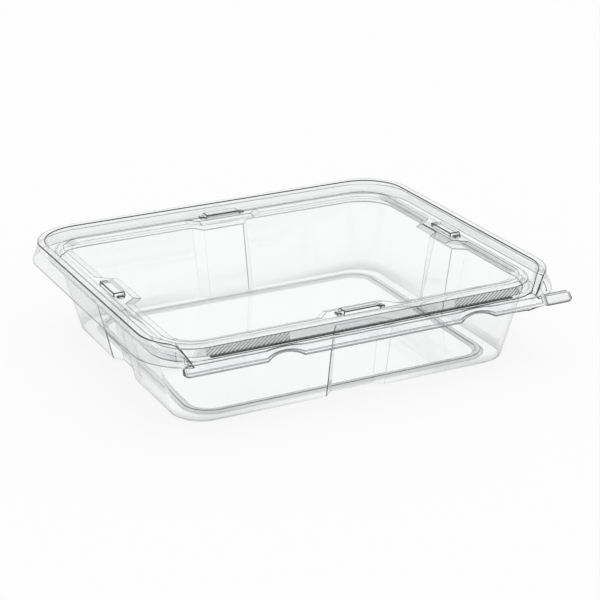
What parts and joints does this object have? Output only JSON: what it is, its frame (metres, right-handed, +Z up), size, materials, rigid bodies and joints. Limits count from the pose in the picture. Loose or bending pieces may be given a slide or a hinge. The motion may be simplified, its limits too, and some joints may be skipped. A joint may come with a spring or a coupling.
{
  "type": "clamshell pack",
  "caption": "Clear thermoformed clamshell pack: drafted rectangular tray with a raised rim ridge, hinged snap lid with a sunk window, folded tear strip with a pull tab.",
  "frame": {"origin": "middle of the floor's underside, the face the pack stands on", "axes": "+X along the front side towards the pull tab, +Y to the back, +Z up"},
  "size_m": [0.1914, 0.1654, 0.0411],
  "materials": {
    "clear_sheet": "clear gloss"
  },
  "bodies": {
    "tray": {"base_tray": "clear_sheet", "tear_strip": "clear_sheet"},
    "cover": {"lid": "clear_sheet"}
  },
  "joints": [
    {"name": "lid_hinge", "type": "hinge", "parent": "tray", "child": "cover", "pos_m": [0, -0.07585, 0.03275], "axis": [1, 0, 0], "range_deg": [0, 115]}
  ]
}
